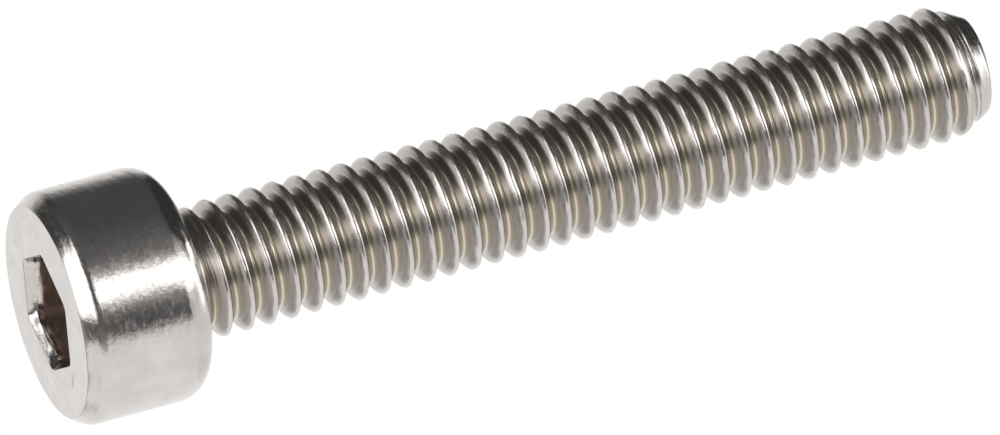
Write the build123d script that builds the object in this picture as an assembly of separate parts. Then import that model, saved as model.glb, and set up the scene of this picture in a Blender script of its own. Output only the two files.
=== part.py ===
from build123d import *
import math
import os

# Derailleur adjustment screw: an M4 x 0.7 hexagon socket head cap screw,
# threaded along its whole shank, cold headed and rolled from one piece of
# stainless steel. It stands on the end face of its head. The origin is the
# centre of that face, and +Z runs along the axis, from the head to the tip.
# All sizes are in millimetres and all angles in degrees.

# Head, a plain barrel
head_diameter = 6.85
head_height = 3.95            # end face to the seat that bears on the work
face_chamfer_height = 0.45    # bevel between end face and barrel, along the axis
face_chamfer_width = 0.30     # the same bevel, across the radius
rim_rounding = 0.80           # radius of the rim on the seat's side
narrowest_seat = 0.30         # flat ring that the rim's rounding always leaves

# Hexagon socket, with two corners on the Y axis
socket_across_flats = 3.03
socket_depth = 2.00           # length of each wall at its middle
socket_point_angle = 120.0    # cone that the punch leaves at the bottom
lead_in_depth = 0.42          # taper that guides a key into the mouth
lead_in_width = 0.13          # the same taper, added to each flat at the end face

# Shank. The helical thread is finer than this solid: the cylinder stands at
# its crests.
thread_diameter = 3.93        # over the crests, 4 mm nominal
shank_length = 24.80          # seat to tip, 25 mm nominal
neck_length = 0.65            # where the thread runs out under the head
neck_step = 0.165             # how far the neck lies inside the crests
neck_fillet = 0.20            # between neck and seat
tip_chamfer_length = 0.95     # along the axis
tip_chamfer_width = 0.515     # across the radius, down to the thread's roots

# Sizes that follow from those
head_radius = head_diameter / 2
thread_radius = thread_diameter / 2
neck_radius = thread_radius - neck_step
seat_inner_radius = neck_radius + neck_fillet
rim_radius = min(rim_rounding, head_radius - seat_inner_radius - narrowest_seat)
overall_length = head_height + shank_length


def turned_blank():
    """The screw without its socket: half of its section, turned about Z."""
    neck_end = head_height + neck_length
    tip_start = overall_length - tip_chamfer_length
    with BuildPart() as blank:
        with BuildSketch(Plane.XZ):
            with BuildLine():
                Polyline(
                    (0, overall_length),
                    (0, 0),
                    (head_radius - face_chamfer_width, 0),
                    (head_radius, face_chamfer_height),
                    (head_radius, head_height - rim_radius),
                )
                CenterArc(
                    (head_radius - rim_radius, head_height - rim_radius),
                    rim_radius,
                    start_angle=0,
                    arc_size=90,
                )
                Line((head_radius - rim_radius, head_height), (seat_inner_radius, head_height))
                CenterArc(
                    (seat_inner_radius, head_height + neck_fillet),
                    neck_fillet,
                    start_angle=270,
                    arc_size=-90,
                )
                Polyline(
                    (neck_radius, head_height + neck_fillet),
                    (neck_radius, neck_end),
                    (thread_radius, neck_end + neck_step),
                    (thread_radius, tip_start),
                    (thread_radius - tip_chamfer_width, overall_length),
                    (0, overall_length),
                )
            make_face()
        revolve(axis=Axis.Z)
    return blank.part


def socket_punch():
    """The punch that sinks the socket: a hexagonal bar, tapered where it enters,
    with a conical point."""
    half_flats = socket_across_flats / 2
    steepness = math.tan(math.radians(socket_point_angle / 2))
    point_depth = socket_depth + half_flats / steepness
    lead_in_angle = math.degrees(math.atan2(lead_in_width, lead_in_depth))
    clear_radius = 1.2 * half_flats
    with BuildPart() as punch:
        with BuildSketch(Plane.XY):
            RegularPolygon(half_flats, 6, major_radius=False, rotation=90)
        extrude(amount=point_depth)
        with BuildSketch(Plane.XZ):
            Polygon(
                (0, 0),
                (clear_radius, 0),
                (clear_radius, point_depth - clear_radius / steepness),
                (0, point_depth),
                align=None,
            )
        revolve(axis=Axis.Z, mode=Mode.INTERSECT)
        with BuildSketch(Plane.XY):
            RegularPolygon(half_flats + lead_in_width, 6, major_radius=False, rotation=90)
        extrude(amount=lead_in_depth, taper=lead_in_angle)
    return punch.part


def adjustment_screw():
    """The finished screw: the blank with its socket sunk."""
    with BuildPart() as screw:
        add(turned_blank())
        add(socket_punch(), mode=Mode.SUBTRACT)
    return screw.part


os.makedirs("parts", exist_ok=True)
part = adjustment_screw()
export_step(part, "parts/adjustment_screw.step")
print(f"adjustment_screw: {part.volume:.2f} mm3, {overall_length:.2f} mm long")
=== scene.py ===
# %% [markdown]
# # A derailleur adjustment screw
#
# This small screw sets how far a bicycle's derailleur may travel. It is one piece
# of stainless steel: a wire end is headed cold in a die, a punch sinks the hexagon
# socket, and the thread is rolled between two flat dies.
#
# The CAD model already fixes where the screw stands and how large it is. Here the
# screw gets what that model leaves out: its helical thread, its softened edges and
# the look of the metal. The first step loads the CAD model and keeps its box, so
# that the finished piece can be compared with it at the end.

# %% Load the CAD model
import math

import bmesh
import bpy
from mathutils import Matrix, Vector, noise


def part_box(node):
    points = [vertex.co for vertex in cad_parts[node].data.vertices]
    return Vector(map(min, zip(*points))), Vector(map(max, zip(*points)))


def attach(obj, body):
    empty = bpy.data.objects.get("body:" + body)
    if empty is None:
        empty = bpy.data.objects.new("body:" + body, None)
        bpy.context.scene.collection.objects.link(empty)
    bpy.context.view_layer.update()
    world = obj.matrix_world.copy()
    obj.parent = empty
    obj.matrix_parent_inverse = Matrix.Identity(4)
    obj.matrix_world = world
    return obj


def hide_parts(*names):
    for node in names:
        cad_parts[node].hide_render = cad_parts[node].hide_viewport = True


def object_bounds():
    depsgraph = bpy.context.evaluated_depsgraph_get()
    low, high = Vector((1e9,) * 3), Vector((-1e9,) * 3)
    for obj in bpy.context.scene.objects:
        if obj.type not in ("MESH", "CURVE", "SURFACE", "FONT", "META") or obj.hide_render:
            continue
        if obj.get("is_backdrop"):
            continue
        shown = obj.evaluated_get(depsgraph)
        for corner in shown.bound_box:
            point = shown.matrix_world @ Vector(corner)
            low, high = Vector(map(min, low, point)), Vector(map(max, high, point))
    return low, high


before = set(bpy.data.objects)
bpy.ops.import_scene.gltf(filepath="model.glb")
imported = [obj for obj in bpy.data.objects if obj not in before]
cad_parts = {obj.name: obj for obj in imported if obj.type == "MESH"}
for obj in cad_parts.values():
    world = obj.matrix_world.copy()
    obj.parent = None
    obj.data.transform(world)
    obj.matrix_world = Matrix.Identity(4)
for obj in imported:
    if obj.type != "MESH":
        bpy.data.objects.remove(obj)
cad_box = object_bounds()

MM = 0.001
low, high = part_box("adjustment_screw")
head_radius = high.x / MM
tip_height = high.z / MM
print(f"CAD screw: head {2 * head_radius:.2f} mm wide, {tip_height:.2f} mm tall")

# %% [markdown]
# ## Turning the head
#
# A lathe turns half a section round the axis, and Blender's spin does the same to a
# line of vertices. The line below starts at the bottom of the socket, climbs its
# wall, crosses the end face, and goes over the bevel, the barrel and the rounded rim
# to the neck. Each corner carries the radius that softens it. On real headed parts
# no edge is perfectly sharp, and the soft edges are what catches the light.
#
# A vertex bevel rounds the corners while the line is still a line, which is far
# simpler than rounding them on the finished surface. Extra points close to a corner
# hold the flat next to it flat when the surface is shaded smooth.

# %% Draw the head's section
AROUND = 96                   # steps in a full turn, which puts a column on each corner of the socket
flat = 1.515                  # half the socket's size across flats
lead_in = 0.13                # how much wider the mouth is
lead_in_depth = 0.42
wall_foot = 2.0
cone_tip = wall_foot + flat / math.tan(math.radians(60))
head_height = 3.95
bevel_width = 0.30            # bevel between end face and barrel, across the radius
bevel_height = 0.45           # the same bevel, along the axis
rim_rounding = 0.80
neck_fillet = 0.20
neck_radius = 1.80
thread_start = 4.20


def line_from(corners):
    """A mesh of one open line through corners given as (radius, height, rounding), in millimetres."""
    line = bmesh.new()
    points = [line.verts.new((radius * MM, 0, height * MM)) for radius, height, rounding in corners]
    for first, second in zip(points, points[1:]):
        line.edges.new((first, second))
    for point, (radius, height, rounding) in zip(points, corners):
        if rounding:
            bmesh.ops.bevel(
                line, geom=[point], affect="VERTICES", offset=rounding * MM, offset_type="OFFSET",
                segments=8 if rounding > 0.5 else 3, profile=0.5, material=-1,
            )
    return line


head_section = [
    (0, cone_tip, 0),
    (0.75, cone_tip - 0.75 / math.tan(math.radians(60)), 0),
    (flat, wall_foot, 0.03),
    (flat, wall_foot - 0.12, 0),
    (flat, 1.2, 0),
    (flat, 0.70, 0),
    (flat, 0.55, 0),
    (flat, 0.48, 0),
    (flat, lead_in_depth, 0),
    (flat + lead_in * 0.15, lead_in_depth * 0.85, 0),
    (flat + lead_in * 0.32, lead_in_depth * 0.68, 0),
    (flat + lead_in * 0.50, lead_in_depth * 0.50, 0),
    (flat + lead_in * 0.68, lead_in_depth * 0.32, 0),
    (flat + lead_in * 0.85, lead_in_depth * 0.15, 0),
    (flat + lead_in, 0, 0.015),
    (flat + lead_in + 0.14, 0, 0),
    (2.4, 0, 0),
    (head_radius - 0.38, 0, 0),
    (head_radius - bevel_width, 0, 0.012),
    (head_radius - 0.8 * bevel_width, 0.2 * bevel_height, 0),
    (head_radius - 0.3 * bevel_width, 0.7 * bevel_height, 0),
    (head_radius, bevel_height, 0.12),
    (head_radius, 0.60, 0),
    (head_radius, 1.8, 0),
    (head_radius, 3.10, 0),
    (head_radius, head_height, rim_rounding),
    (2.55, head_height, 0),
    (2.05, head_height, 0),
    (neck_radius, head_height, neck_fillet),
    (neck_radius, thread_start, 0),
]
screw = line_from(head_section)
print(f"Head's section: {len(screw.verts)} points")

# %% Spin the head
bmesh.ops.spin(
    screw, geom=screw.verts[:] + screw.edges[:], cent=(0, 0, 0), axis=(0, 0, 1),
    angle=math.tau, steps=AROUND, use_merge=True,
)
bmesh.ops.remove_doubles(screw, verts=screw.verts[:], dist=0.002 * MM)
print(f"Head: {len(screw.faces)} faces")

# %% [markdown]
# ## Pressing the socket
#
# The spin left a round bore. The real socket is pressed by a hexagonal punch that
# pushes the metal outwards into its corners, so the bore's rings are pushed outwards
# in the same way: nothing at the middle of a flat, most at a corner. The cone at the
# bottom keeps its slope, so its rim dips a little in the corners, as a drilled or
# punched point does in a hexagon.

# %% Press the bore into a hexagon
cone_slope = math.tan(math.radians(30))
corner_reach = 1.125          # how far a corner lies beyond a flat; a sharp one would be at 1.155
pressed_margin = 0.20         # how much of the face round the mouth moves with it
socket_top = 3.0              # everything in the socket lies below this height


def press(vertex):
    """Moves one vertex of the bore from the round to the hexagon."""
    angle = math.atan2(vertex.co.y, vertex.co.x)
    from_flat = (angle + math.pi / 6) % (math.pi / 3) - math.pi / 6
    reach = min(1 / math.cos(from_flat), corner_reach)
    radius = Vector(vertex.co[:2]).length / MM
    on_cone = vertex.co.z / MM >= wall_foot - 0.035
    vertex.co.x *= reach
    vertex.co.y *= reach
    if on_cone:
        vertex.co.z -= radius * (reach - 1) * cone_slope * MM


bore = [
    v for v in screw.verts
    if 0 < Vector(v.co[:2]).length < (flat + lead_in + pressed_margin) * MM
    and v.co.z < socket_top * MM
]
for vertex in bore:
    press(vertex)
across = 2 * max(v.co.y for v in bore if v.co.z > 0.5 * lead_in_depth * MM) / MM
print(f"Socket: {len(bore)} vertices pressed, {across:.2f} mm across its corners")

# %% [markdown]
# ## The torn lip
#
# The edge of this socket is torn, by its punch or by a worn key. Along one wall the
# metal of the mouth stands inwards as a ridge with a lump at either end, and the
# line where the taper meets the walls wanders. Noise moves the line, and bell-shaped
# bumps raise the ridge and the lumps, so that each fades out smoothly.

# %% Tear the lip
torn_depth = 0.9              # below this the walls are whole
mouth_depth = 0.02            # above this lies the face, which stays flat


def bell(value, middle, width):
    """1 at middle, fading to nothing on either side of it."""
    return math.exp(-((value - middle) / width) ** 2)


for vertex in bore:
    depth = vertex.co.z / MM
    if mouth_depth < depth < torn_depth:
        angle = math.degrees(math.atan2(vertex.co.y, vertex.co.x))
        outward = Vector((vertex.co.x, vertex.co.y, 0)).normalized()
        spot = Vector((vertex.co.x, vertex.co.y, 0.6 * vertex.co.z)) / MM
        edge = bell(depth, lead_in_depth, 0.16)
        tear = (noise.noise(spot * 2.6) * 0.0224 + noise.noise(spot * 6.0) * 0.0096) * edge
        ridge = 0.060 * bell(angle, 56, 27) * bell(depth, 0.24, 0.09)
        lumps = 0.11 * bell(angle, 88, 9) * bell(depth, 0.22, 0.11)
        lumps += 0.10 * bell(angle, 33, 7) * bell(depth, 0.20, 0.10)
        vertex.co -= outward * (tear + ridge + lumps) * MM
        vertex.co.z += noise.noise(spot * 1.7 + Vector((5, 5, 5))) * 0.30 * edge * MM
print("Lip: ridge 0.06 mm and lumps up to 0.11 mm proud of a wall")

# %% [markdown]
# ## Rolling the thread
#
# A screw thread is one groove wound round the shank. The section of one pitch, from
# root to root, is spun through a full turn while it climbs by exactly one pitch.
# That gives one turn of ribbon. A helix moved up by its own pitch falls on itself,
# so the rest of the thread is the same ribbon again and again, one pitch higher each
# time, merged where the copies meet. Spinning every turn in one go would make the
# same surface, only more slowly.
#
# Rolled crests are rounder than cut ones, because the metal flows up between the
# dies and doesn't quite fill them. The flank on the head's side has one more corner,
# a soft bend, so that it mirrors a gradient and not one flat tone.

# %% Wind one turn and stack it
pitch = 0.70
crest_radius = 1.965
root_radius = 1.545
flank_radius = 1.80           # where the flank on the head's side bends
first_crest = 4.95            # height of a crest on the +X side
half_crest = 0.042
half_root = 0.295

thread_section = [
    (root_radius, -pitch / 2, 0),
    (root_radius, -half_root, 0.04),
    (flank_radius, -0.210, 0.10),
    (crest_radius, -half_crest, 0.035),
    (crest_radius, half_crest, 0.030),
    (root_radius, half_root, 0.04),
    (root_radius, pitch / 2, 0),
]
thread = line_from(thread_section)
bmesh.ops.translate(thread, verts=thread.verts[:], vec=(0, 0, (first_crest - 3 * pitch) * MM))
bmesh.ops.spin(
    thread, geom=thread.verts[:] + thread.edges[:], cent=(0, 0, 0), axis=(0, 0, 1),
    dvec=(0, 0, pitch * MM / AROUND), angle=math.tau, steps=AROUND, use_merge=False,
)
one_turn = thread.verts[:] + thread.edges[:] + thread.faces[:]
turns = math.ceil((tip_height - first_crest) / pitch) + 4
for turn in range(1, turns):
    copy = bmesh.ops.duplicate(thread, geom=one_turn)["geom"]
    moved = [part for part in copy if isinstance(part, bmesh.types.BMVert)]
    bmesh.ops.translate(thread, verts=moved, vec=(0, 0, turn * pitch * MM))
bmesh.ops.remove_doubles(thread, verts=thread.verts[:], dist=0.002 * MM)
print(f"Thread: {turns} turns, {len(thread.faces)} faces")

# %% [markdown]
# ## Where the thread begins and ends
#
# The ribbon is too long at both ends. Every vertex past an end is brought back to
# it, and since all of one column then sit on one spot, merging them leaves a clean
# ring that fits the neck. Near the head the dies lift off, so the groove grows
# shallow and the crest sinks until both meet the neck. At the tip a cone cuts the
# last crests down to the chamfer that helps the screw find its hole.

# %% Run the thread out
chamfer_start = tip_height - 0.95
tip_radius = 1.45
crest_fade = (4.45, 4.80)     # heights between which the crests reach their full size
root_fade = (4.22, 4.58)      # the same for the roots
crest_waver = 0.05            # how far the crests fall short where the dies didn't fill
chamfer_slope = (crest_radius - tip_radius) / (tip_height - chamfer_start)


def fade(value, start, end):
    """0 before start, 1 after end, and smooth between them."""
    share = min(max((value - start) / (end - start), 0), 1)
    return share * share * (3 - 2 * share)


for vertex in thread.verts:
    radius = Vector(vertex.co[:2]).length / MM
    height = min(max(vertex.co.z / MM, thread_start), tip_height)
    if radius > neck_radius:
        wanted = neck_radius + (radius - neck_radius) * fade(height, *crest_fade)
    else:
        wanted = neck_radius + (radius - neck_radius) * fade(height, *root_fade)
    if wanted > 1.90:
        wanted -= crest_waver * max(noise.noise(vertex.co * 2.2 / MM) - 0.15, 0)
    wanted = min(wanted, tip_radius + (tip_height - height) * chamfer_slope)
    vertex.co.x *= wanted / radius
    vertex.co.y *= wanted / radius
    vertex.co.z = height * MM
bmesh.ops.remove_doubles(thread, verts=thread.verts[:], dist=0.003 * MM)
rim = [
    edge for edge in thread.edges
    if edge.is_boundary and edge.verts[0].co.z > chamfer_start * MM
]
print(f"Thread run out: {len(thread.faces)} faces, {len(rim)} edges round the tip")

# %% [markdown]
# ## Closing the tip
#
# The end of the screw is nearly flat, with a slight hollow. The open rim is extruded
# inwards three times, each ring smaller than the one before, and the last ring is
# merged into one vertex at the pole, a little lower than the rim.

# %% Close the tip
for reach, rise in ((0.96, 0), (0.70, -0.02), (0.35, -0.05)):
    ring = bmesh.ops.extrude_edge_only(thread, edges=rim)["geom"]
    rim = [part for part in ring if isinstance(part, bmesh.types.BMEdge)]
    corners = [part for part in ring if isinstance(part, bmesh.types.BMVert)]
    now = Vector(corners[0].co[:2]).length
    bmesh.ops.scale(thread, verts=corners, vec=(reach * tip_radius * MM / now,) * 2 + (1,))
    for vertex in corners:
        vertex.co.z = (tip_height + rise) * MM
bmesh.ops.pointmerge(thread, verts=corners, merge_co=(0, 0, (tip_height - 0.06) * MM))
print(f"Tip closed: {len(thread.faces)} faces")

# %% [markdown]
# ## One closed piece
#
# The head and the thread are still two meshes with a ring of vertices each at the
# neck. Merging by distance joins the rings, and counting the edges that don't have
# exactly two faces shows whether the skin is closed. Everything is shaded smooth
# except the sharp edges of the head.

# %% Join the head and the thread
shank_mesh = bpy.data.meshes.new("shank")
thread.to_mesh(shank_mesh)
screw.from_mesh(shank_mesh)
thread.free()
bpy.data.meshes.remove(shank_mesh)
bmesh.ops.remove_doubles(screw, verts=screw.verts[:], dist=0.003 * MM)
bmesh.ops.recalc_face_normals(screw, faces=screw.faces[:])
open_edges = sum(not edge.is_manifold for edge in screw.edges)
print(f"Screw: {len(screw.faces)} faces, {open_edges} open edges")
print(f"Volume: {screw.calc_volume() / MM**3:.1f} mm3")

# %% Finish the piece
sharp_angle = math.radians(38)
for face in screw.faces:
    face.smooth = True
for edge in screw.edges:
    if edge.calc_face_angle(0) > sharp_angle and edge.verts[0].co.z < socket_top * MM:
        edge.smooth = False
mesh = bpy.data.meshes.new("threaded_screw")
screw.to_mesh(mesh)
screw.free()
threaded_screw = bpy.data.objects.new("threaded_screw", mesh)
bpy.context.scene.collection.objects.link(threaded_screw)
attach(threaded_screw, "root")
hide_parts("adjustment_screw")
print(f"Piece: {sum(len(p.vertices) - 2 for p in mesh.polygons)} triangles")

# %% [markdown]
# ## A short way to write shaders
#
# A material is a graph, but its arithmetic reads best as arithmetic. This class
# wraps one socket. Sums and products on it add the Math nodes that they need, so
# `1 - mask` is a node too. One method, `node`, makes every other kind: settings
# first, then the values and links of its inputs.

# %% Wrap a socket
class Signal:
    """One output socket of a node tree, which can be used in sums."""

    def __init__(self, tree, socket=None):
        self.tree = tree
        self.socket = socket

    def node(self, kind, inputs=None, output=0, stops=None, **settings):
        made = self.tree.nodes.new(kind)
        for name, value in settings.items():
            setattr(made, name, value)
        if stops:
            ramp = made.color_ramp
            while len(ramp.elements) < len(stops):
                ramp.elements.new(1)
            for element, (position, level) in zip(ramp.elements, stops):
                element.position = position
                element.color = (*level, 1) if isinstance(level, tuple) else (level, level, level, 1)
        for key, value in (inputs or {}).items():
            if isinstance(value, Signal):
                self.tree.links.new(value.socket, made.inputs[key])
            else:
                made.inputs[key].default_value = value
        return Signal(self.tree, made.outputs[output])

    def math(self, operation, first, second=0.0, clamp=False):
        return self.node("ShaderNodeMath", {0: first, 1: second}, operation=operation, use_clamp=clamp)

    def __add__(self, other):
        return self.math("ADD", self, other)

    def __sub__(self, other):
        return self.math("SUBTRACT", self, other)

    def __mul__(self, other):
        return self.math("MULTIPLY", self, other)

    def __truediv__(self, other):
        return self.math("DIVIDE", self, other)

    def __rsub__(self, other):
        return self.math("SUBTRACT", other, self)

    __radd__ = __add__
    __rmul__ = __mul__

    def ramp(self, start, end):
        """0 where this is below start, 1 above end, smooth between; end may be below start."""
        return self.node(
            "ShaderNodeMapRange", {"Value": self, "From Min": start, "From Max": end},
            interpolation_type="SMOOTHSTEP",
        )

    def blend(self, first, second):
        """The first colour where this is 0, the second where it is 1."""
        return self.node(
            "ShaderNodeMix", {"Factor": self, 6: first, 7: second}, output=2, data_type="RGBA",
        )


print("Signal is ready")

# %% [markdown]
# ## Stainless steel
#
# Bare steel is a metal all through, so Metallic is 1 and its colour is the tint of
# its reflections: a light grey, slightly warm. Most of what one sees is the room in
# it, so the finish is mainly in the roughness and the bump.
#
# Fine marks run round the screw, as turning and rolling leave them. The noise for
# them is therefore stretched round the axis.
# The thread's groove is darker and browner than the head, with a lighter, yellower line
# at its root. Deep in the socket a dark brown is painted shade, with a brownish tint of
# its own. A short scratch crosses the end face.

# %% Read places on the screw in millimetres
steel = bpy.data.materials.new("stainless_steel")
steel.use_nodes = True
steel.node_tree.nodes.clear()
graph = Signal(steel.node_tree)
place = graph.node("ShaderNodeTexCoord", output="Object")
place_mm = graph.node("ShaderNodeVectorMath", {0: place, "Scale": 1 / MM}, operation="SCALE")
x = graph.node("ShaderNodeSeparateXYZ", {0: place_mm}, output=0)
y = graph.node("ShaderNodeSeparateXYZ", {0: place_mm}, output=1)
z = graph.node("ShaderNodeSeparateXYZ", {0: place_mm}, output=2)
radius = graph.math("SQRT", x * x + y * y)


def marks(size, stretch, detail=3.0, roughness=0.55):
    """Noise with spots of about size mm, stretched across the axis by stretch."""
    scale = (1 / size, 1 / size, stretch / size)
    fit = graph.node("ShaderNodeMapping", {"Vector": place_mm, "Scale": scale})
    return graph.node(
        "ShaderNodeTexNoise", {"Vector": fit, "Scale": 1.0, "Detail": detail, "Roughness": roughness},
    )


on_shank = z.ramp(4.0, 4.25)
in_groove = radius.ramp(1.94, 1.85) * on_shank * z.ramp(28.15, 28.0)
in_root = radius.ramp(1.62, 1.56) * in_groove
# Deep in the socket, below the light band at the mouth: where painted shade goes, and where the metal
# is rougher
deep_socket_shade = radius.ramp(1.80, 1.70) * z.ramp(3.2, 3.0) * z.ramp(0.35, 0.48)
print("Places: on the shank, in the groove, in the socket")

# %% Mix the finish
cloud = marks(0.9, 1.0)
mottle = marks(0.16, 1.0)
drag = marks(0.80, 4.0, detail=2.0, roughness=0.5)
pits = marks(0.26, 2.0).ramp(0.42, 0.80)
worn = cloud.ramp(0.35, 0.70)
from_scratch_x = x - 2.06
from_scratch_y = y + 0.83
along_scratch = graph.math("ABSOLUTE", from_scratch_x * 0.57 + from_scratch_y * 0.82)
across_scratch = graph.math("ABSOLUTE", from_scratch_x * 0.82 - from_scratch_y * 0.57)
scratch = along_scratch.ramp(0.36, 0.22) * across_scratch.ramp(0.07, 0.02) * z.ramp(0.05, 0.01)

clean = worn.blend((0.610, 0.578, 0.555, 1), (0.680, 0.645, 0.615, 1))
# The thread's groove is made darker and browner, and its root a lighter, yellower line
darker_groove = in_groove.blend(clean, (0.53, 0.495, 0.46, 1))
rooted = in_root.blend(darker_groove, (0.64, 0.585, 0.49, 1))
# Painted shade deep in the socket, dark brown with a brownish tint of its own, and the short scratch on
# the end face
shade_and_scratch = deep_socket_shade * 0.85 + scratch * 0.35
colour = shade_and_scratch.blend(rooted, (0.46, 0.37, 0.32, 1))
roughness = (
    0.11 + mottle * 0.08 + pits * 0.15 * (1 - in_groove)
    + on_shank * 0.05 + in_groove * 0.05 + deep_socket_shade * 0.15
)
height = (
    mottle * 0.005 * (1 - in_groove * 0.5) + drag * 0.014 * (1 - in_groove * 0.6)
    + cloud * 0.006 - scratch * 0.012
)
relief = graph.node("ShaderNodeBump", {"Height": height, "Strength": 1.0, "Distance": 0.001})

shader = graph.node(
    "ShaderNodeBsdfPrincipled",
    {"Base Color": colour, "Metallic": 1.0, "Roughness": roughness, "Normal": relief},
)
finish = steel.node_tree.nodes.new("ShaderNodeOutputMaterial")
steel.node_tree.links.new(shader.socket, finish.inputs["Surface"])
mesh.materials.append(steel)
print(f"Stainless steel: {len(steel.node_tree.nodes)} nodes")

# %% [markdown]
# ## The floor
#
# The screw stands on its head on a plain pale floor. The camera looks from below
# the level of the floor, along the end face, so the floor lets camera rays through
# from underneath and shows only from above. A little light of its own, for the
# camera alone, lifts its tone towards the white behind it, and the screw's soft
# shadow stays on it. It isn't mirrored in the metal, which mirrors the tent alone.

# %% Lay the floor
floor_radius = 2.0            # in metres
ground = bmesh.new()
bmesh.ops.create_circle(ground, cap_ends=True, segments=64, radius=floor_radius)
bmesh.ops.translate(ground, verts=ground.verts[:], vec=(0, 0, -0.02 * MM))
floor_mesh = bpy.data.meshes.new("floor")
ground.to_mesh(floor_mesh)
ground.free()
floor = bpy.data.objects.new("floor", floor_mesh)
bpy.context.scene.collection.objects.link(floor)
floor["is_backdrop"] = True
floor.visible_glossy = False
floor.visible_shadow = False

paper = bpy.data.materials.new("pale_paper")
paper.use_nodes = True
paper.node_tree.nodes.clear()
graph = Signal(paper.node_tree)
seen = graph.node("ShaderNodeLightPath", output="Is Camera Ray")
from_below = graph.node("ShaderNodeNewGeometry", output="Backfacing") * seen
matt = graph.node("ShaderNodeBsdfDiffuse", {"Color": (0.90, 0.90, 0.89, 1)})
lift = graph.node("ShaderNodeEmission", {"Color": (1, 1, 1, 1), "Strength": seen * 0.16})
pale = graph.node("ShaderNodeAddShader", {0: matt, 1: lift})
clear = graph.node("ShaderNodeBsdfTransparent")
either = graph.node("ShaderNodeMixShader", {0: from_below, 1: pale, 2: clear})
finish = paper.node_tree.nodes.new("ShaderNodeOutputMaterial")
paper.node_tree.links.new(either.socket, finish.inputs["Surface"])
floor_mesh.materials.append(paper)
print(f"Floor: {2 * floor_radius:.0f} m across")

# %% [markdown]
# ## The light
#
# Metal is lit by what it mirrors. A white cloth tent with a strip of brighter light
# in front of the screw and a black card beside it draws the long bands that make a
# cylinder read as one. The world below paints that tent by direction: one angle
# round the screw's axis, one angle of height. The camera alone sees plain white.
#
# Bands of height hold different strips, because the barrel, the bevel, the thread's
# flanks and the socket each mirror another part of the tent.

# %% Paint the tent
world = bpy.data.worlds.new("white_tent")
bpy.context.scene.world = world
world.use_nodes = True
world.node_tree.nodes.clear()
graph = Signal(world.node_tree)
way = graph.node("ShaderNodeTexCoord", output="Generated")
way_x = graph.node("ShaderNodeSeparateXYZ", {0: way}, output=0)
way_y = graph.node("ShaderNodeSeparateXYZ", {0: way}, output=1)
way_z = graph.node("ShaderNodeSeparateXYZ", {0: way}, output=2)
turn_angle = graph.math("ARCTAN2", 0 - way_x, 0 - way_y) * (180 / math.pi)
rise_angle = graph.math("ARCSINE", way_z) * (180 / math.pi)


def round_the_tent(levels):
    """Brightness against the angle round the axis, from stops of (degrees, level)."""
    share = (turn_angle + 180) / 360
    most = max(level for angle, level in levels)
    stops = [((angle + 180) / 360, level / most) for angle, level in levels]
    return graph.node("ShaderNodeValToRGB", {"Fac": share}, stops=stops) * most


middle = round_the_tent([
    (-180, 1.0), (-48, 1.0), (-43, 0.55), (-38, 0.10), (-30, 0.09), (-22, 0.13), (-12, 0.25), (-5, 1.2),
    (0, 2.3), (14, 2.3), (20, 0.6), (28, 0.22), (40, 0.15), (60, 0.10), (75, 0.08),
    (126, 0.08), (138, 0.30), (148, 0.80), (160, 1.0), (180, 1.0),
])
gap = round_the_tent([
    (-180, 1.0), (-53, 1.0), (-47, 0.25), (-20, 0.12), (60, 0.12), (126, 0.05), (145, 0.9), (180, 1.0),
])
lower = round_the_tent([
    (-180, 1.0), (-51, 1.0), (-46, 0.10), (-23, 0.08), (-17, 1.9), (62, 1.9), (68, 0.30),
    (73, 0.07), (124, 0.05), (138, 0.80), (180, 1.0),
])
deep = round_the_tent([
    (-180, 0.30), (-60, 0.35), (-45, 0.3), (-20, 0.3), (-12, 1.9), (40, 1.9), (60, 0.7), (180, 0.7),
])
above = round_the_tent([
    (-180, 0.9), (-50, 0.9), (-36, 0.7), (-20, 0.8), (-10, 2.4), (16, 2.4), (26, 0.8), (46, 0.04),
    (160, 0.04), (170, 0.5), (180, 0.9),
])
# Each band takes over from the one above it, going down, or below it, going up
gap_share = rise_angle.ramp(10, 2)
lower_share = rise_angle.ramp(-22, -30)
deep_share = rise_angle.ramp(-50, -54)
above_share = rise_angle.ramp(24, 30)
zenith_share = rise_angle.ramp(70, 76)

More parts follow.
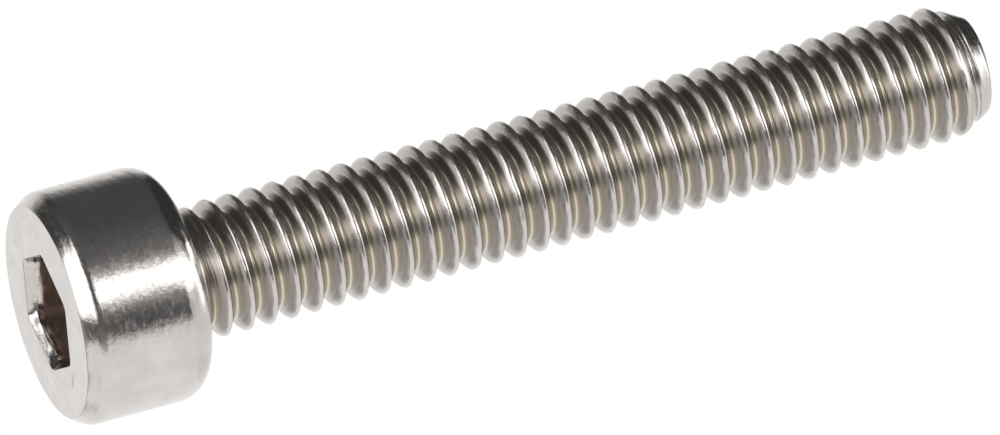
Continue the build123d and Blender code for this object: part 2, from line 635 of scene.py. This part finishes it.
# Two grey cards low behind the screw give the thread's flanks their tone
side_card = turn_angle.ramp(-174, -160) * turn_angle.ramp(-118, -142) * rise_angle.ramp(-10, -18)
low_card = turn_angle.ramp(-84, -98) * rise_angle.ramp(-31, -38)
tent = (1 - side_card * 0.55) * (1 - low_card * 0.5) * (
    middle * (1 - gap_share) * (1 - above_share)
    + gap * gap_share * (1 - lower_share)
    + lower * lower_share * (1 - deep_share)
    + deep * deep_share
    + above * above_share * (1 - zenith_share)
    + 2.0 * zenith_share
)
seen = graph.node("ShaderNodeLightPath", output="Is Camera Ray")
strength = seen + (1 - seen) * tent
background = graph.node("ShaderNodeBackground", {"Color": (1, 1, 1, 1), "Strength": strength})
finish = world.node_tree.nodes.new("ShaderNodeOutputWorld")
world.node_tree.links.new(background.socket, finish.inputs["Surface"])
world.cycles.sampling_method = "MANUAL"
world.cycles.sample_map_resolution = 1024
print("Tent: a bright strip in front, a black card beside it")

# %% [markdown]
# ## The camera
#
# The camera stands far away behind a long lens, as for a catalogue picture of a
# small part, and looks a little up along the screw's axis at the end of its head.
# It is rolled by 75 degrees, so that the screw lies 15 degrees from level with its
# tip raised.

# %% Set up the camera
slant = math.radians(17.626)
ahead = Vector((0, math.cos(slant), math.sin(slant)))
lens_data = bpy.data.cameras.new("catalogue_camera")
lens_data.lens = 717.0
distance = 0.570
camera = bpy.data.objects.new("catalogue_camera", lens_data)
bpy.context.scene.collection.objects.link(camera)
roll = Matrix.Rotation(math.radians(75.02), 4, "Z")
turned = ahead.to_track_quat("-Z", "Y").to_matrix().to_4x4() @ roll
aim = Vector((0.00072, 0, 0.01379))
camera.matrix_world = Matrix.Translation(aim - ahead * distance) @ turned
lens_data.clip_start = 0.01
bpy.context.scene.camera = camera
bpy.context.scene.view_settings.view_transform = "Standard"
print(f"Camera: {lens_data.lens:.0f} mm lens, {distance / MM:.0f} mm from the screw")

# %% [markdown]
# ## Measuring the result
#
# The piece is meant to fill the same box as the CAD model, so both boxes are
# printed, in millimetres.

# %% Print both boxes
made_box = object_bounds()
boxes = {"cad": [list(corner) for corner in cad_box], "visual": [list(corner) for corner in made_box]}
for name, box in boxes.items():
    print(f"Box of {name} in mm:", [[round(value / MM, 3) for value in corner] for corner in box])
